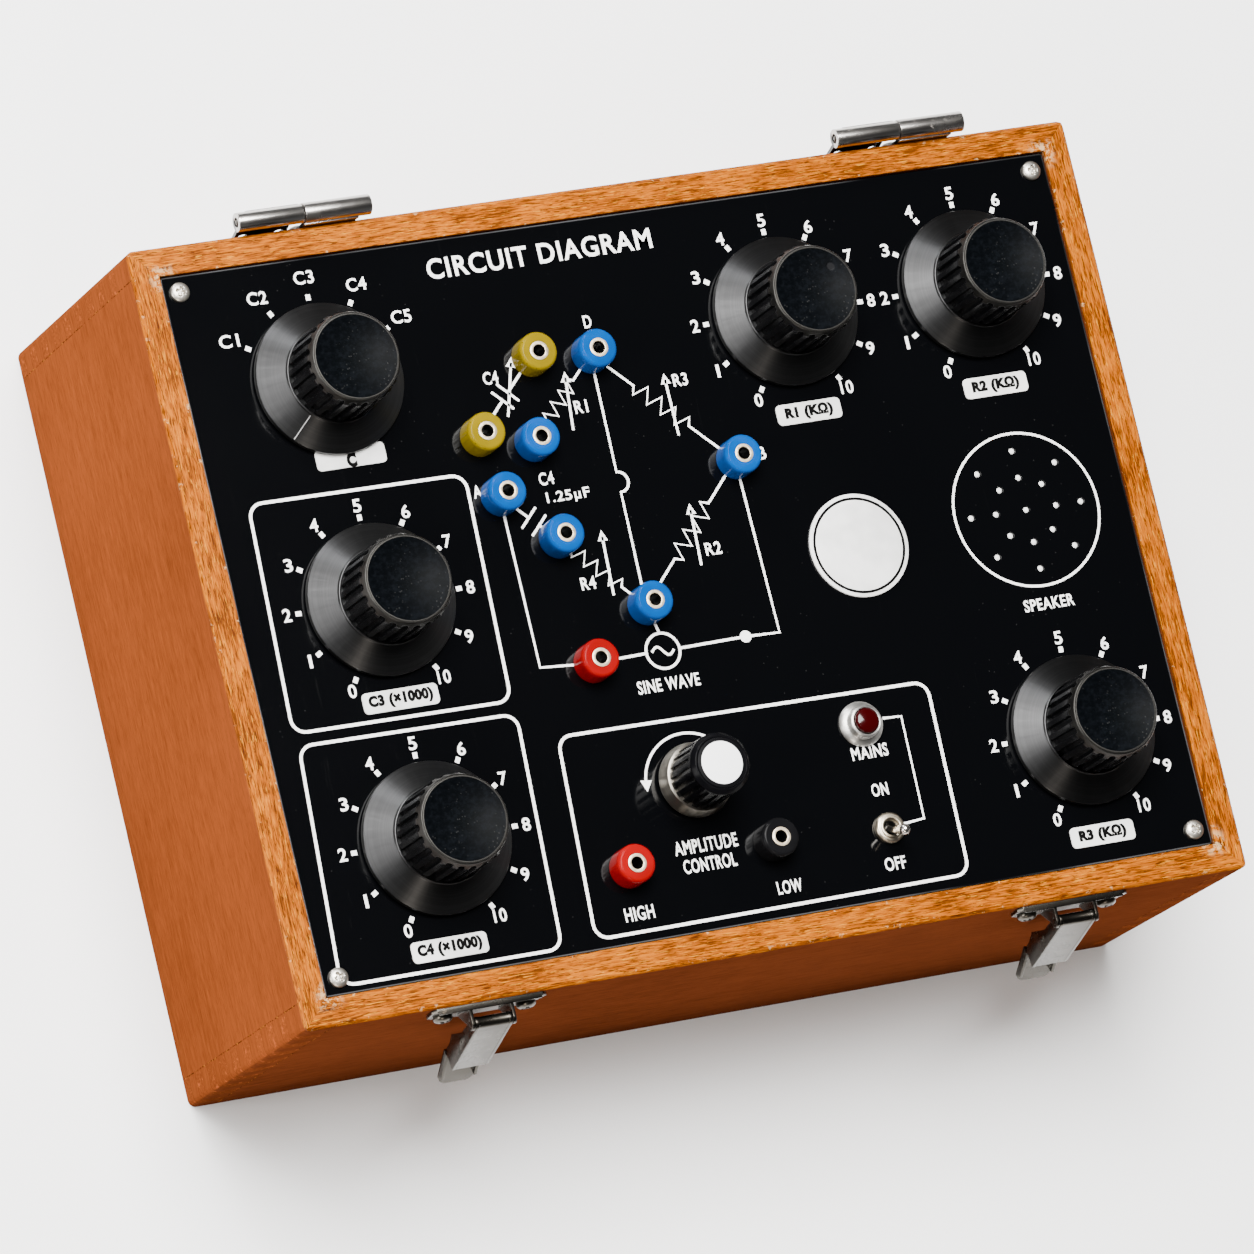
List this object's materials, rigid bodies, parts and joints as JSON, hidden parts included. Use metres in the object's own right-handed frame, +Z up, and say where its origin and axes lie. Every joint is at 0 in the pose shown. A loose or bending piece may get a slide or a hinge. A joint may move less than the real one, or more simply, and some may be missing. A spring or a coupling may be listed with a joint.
{
  "type": "resistance bridge",
  "caption": "Wooden bench case with a black control panel of skirted dials, plug sockets, a pilot lamp and a toggle switch, for comparing resistances and capacitances.",
  "frame": {"origin": "middle of the underside of the base board", "axes": "+X right along the panel, +Y from the latches to the hinges, +Z up out of the panel"},
  "size_m": [0.32, 0.2694, 0.1383],
  "materials": {
    "case_wood": "varnished",
    "plywood": "raw",
    "rubber": "matt",
    "panel_black": "gloss",
    "plated_steel": "plated",
    "badge_print": "printed",
    "label_print": "printed",
    "laminate": "satin",
    "socket_yellow": "gloss",
    "socket_blue": "gloss",
    "socket_red": "gloss",
    "socket_black": "gloss",
    "contact_brass": "plated",
    "spun_aluminium": "spun",
    "knob_black": "gloss",
    "cap_white": "satin",
    "nickel": "worn nickel plate",
    "lens_red": "clear",
    "toggle_brass": "satin",
    "speaker_cloth": "woven",
    "speaker_steel": "satin",
    "speaker_paper": "matt",
    "circuit_laminate": "satin",
    "transformer_steel": "lacquered",
    "skirt_anodised": "spun, black anodised",
    "cap_black": "speckled"
  },
  "bodies": {
    "case": {"front_wall": "case_wood", "back_wall": "case_wood", "left_wall": "case_wood", "right_wall": "case_wood", "base_board": "plywood", "corner_blocks": "plywood", "cord_grommet": "rubber", "control_panel": "panel_black", "panel_screws": "plated_steel", "badge_disc": "badge_print", "label_plates": "label_print", "rotary_switches": "laminate", "panel_nuts": "plated_steel", "yellow_sockets": "socket_yellow", "blue_sockets": "socket_blue", "red_sockets": "socket_red", "black_socket": "socket_black", "socket_contacts": "contact_brass", "potentiometer": "plated_steel", "lamp_bezel": "nickel", "lamp_lens": "lens_red", "toggle_switch": "toggle_brass", "speaker_cloth": "speaker_cloth", "speaker_frame": "speaker_steel", "speaker_cone": "speaker_paper", "circuit_board": "circuit_laminate", "transformer": "transformer_steel", "hinge_leaves": "nickel", "hinge_pins": "nickel", "latch_plates": "nickel", "latch_pins": "nickel", "wood_screws": "plated_steel"},
    "c_dial": {"c_skirt": "skirt_anodised", "c_grip": "knob_black", "c_cap": "cap_black"},
    "c3_dial": {"c3_skirt": "skirt_anodised", "c3_grip": "knob_black", "c3_cap": "cap_black"},
    "c4_dial": {"c4_skirt": "skirt_anodised", "c4_grip": "knob_black", "c4_cap": "cap_black"},
    "r1_dial": {"r1_skirt": "skirt_anodised", "r1_grip": "knob_black", "r1_cap": "cap_black"},
    "r2_dial": {"r2_skirt": "skirt_anodised", "r2_grip": "knob_black", "r2_cap": "cap_black"},
    "r3_dial": {"r3_skirt": "skirt_anodised", "r3_grip": "knob_black", "r3_cap": "cap_black"},
    "amplitude_knob": {"amplitude_collar": "spun_aluminium", "amplitude_grip": "knob_black", "amplitude_cap": "cap_white"},
    "toggle": {"toggle_lever": "nickel"},
    "left_leaf": {"left_lid_leaf": "nickel"},
    "right_leaf": {"right_lid_leaf": "nickel"},
    "left_lever": {"left_latch_lever": "nickel"},
    "right_lever": {"right_latch_lever": "nickel"},
    "left_hook": {"left_latch_hook": "nickel"},
    "right_hook": {"right_latch_hook": "nickel"}
  },
  "joints": [
    {"name": "c_turn", "type": "hinge", "parent": "case", "child": "c_dial", "pos_m": [-0.1045, 0.0745, 0.1107], "axis": [0, 0, 1], "range_deg": [-300, 0]},
    {"name": "c3_turn", "type": "hinge", "parent": "case", "child": "c3_dial", "pos_m": [-0.1045, 0.004, 0.1107], "axis": [0, 0, 1], "range_deg": [-90, 210]},
    {"name": "c4_turn", "type": "hinge", "parent": "case", "child": "c4_dial", "pos_m": [-0.1045, -0.0715, 0.1107], "axis": [0, 0, 1], "range_deg": [-90, 210]},
    {"name": "r1_turn", "type": "hinge", "parent": "case", "child": "r1_dial", "pos_m": [0.05, 0.0745, 0.1107], "axis": [0, 0, 1], "range_deg": [-90, 210]},
    {"name": "r2_turn", "type": "hinge", "parent": "case", "child": "r2_dial", "pos_m": [0.1155, 0.0745, 0.1107], "axis": [0, 0, 1], "range_deg": [-90, 210]},
    {"name": "r3_turn", "type": "hinge", "parent": "case", "child": "r3_dial", "pos_m": [0.1155, -0.0715, 0.1107], "axis": [0, 0, 1], "range_deg": [-90, 210]},
    {"name": "amplitude_turn", "type": "hinge", "parent": "case", "child": "amplitude_knob", "pos_m": [-0.017, -0.067, 0.1107], "axis": [0, 0, 1], "range_deg": [-150, 150]},
    {"name": "toggle_flip", "type": "hinge", "parent": "case", "child": "toggle", "pos_m": [0.0436, -0.0916, 0.1092], "axis": [1, 0, 0], "range_deg": [-26, 0]},
    {"name": "left_leaf_swing", "type": "hinge", "parent": "case", "child": "left_leaf", "pos_m": [-0.1015, 0.1266, 0.1146], "axis": [1, 0, 0], "range_deg": [0, 193.5]},
    {"name": "left_lever_swing", "type": "hinge", "parent": "case", "child": "left_lever", "pos_m": [-0.099, -0.129, 0.1091], "axis": [-1, 0, 0], "range_deg": [0, 104]},
    {"name": "left_hook_swing", "type": "hinge", "parent": "left_lever", "child": "left_hook", "pos_m": [-0.099, -0.13127, 0.09521], "axis": [-1, 0, 0], "range_deg": [-16, 18]},
    {"name": "right_leaf_swing", "type": "hinge", "parent": "case", "child": "right_leaf", "pos_m": [0.1015, 0.1266, 0.1146], "axis": [1, 0, 0], "range_deg": [0, 193.5]},
    {"name": "right_lever_swing", "type": "hinge", "parent": "case", "child": "right_lever", "pos_m": [0.099, -0.129, 0.1091], "axis": [-1, 0, 0], "range_deg": [0, 104]},
    {"name": "right_hook_swing", "type": "hinge", "parent": "right_lever", "child": "right_hook", "pos_m": [0.099, -0.13127, 0.09521], "axis": [-1, 0, 0], "range_deg": [-16, 18]}
  ]
}
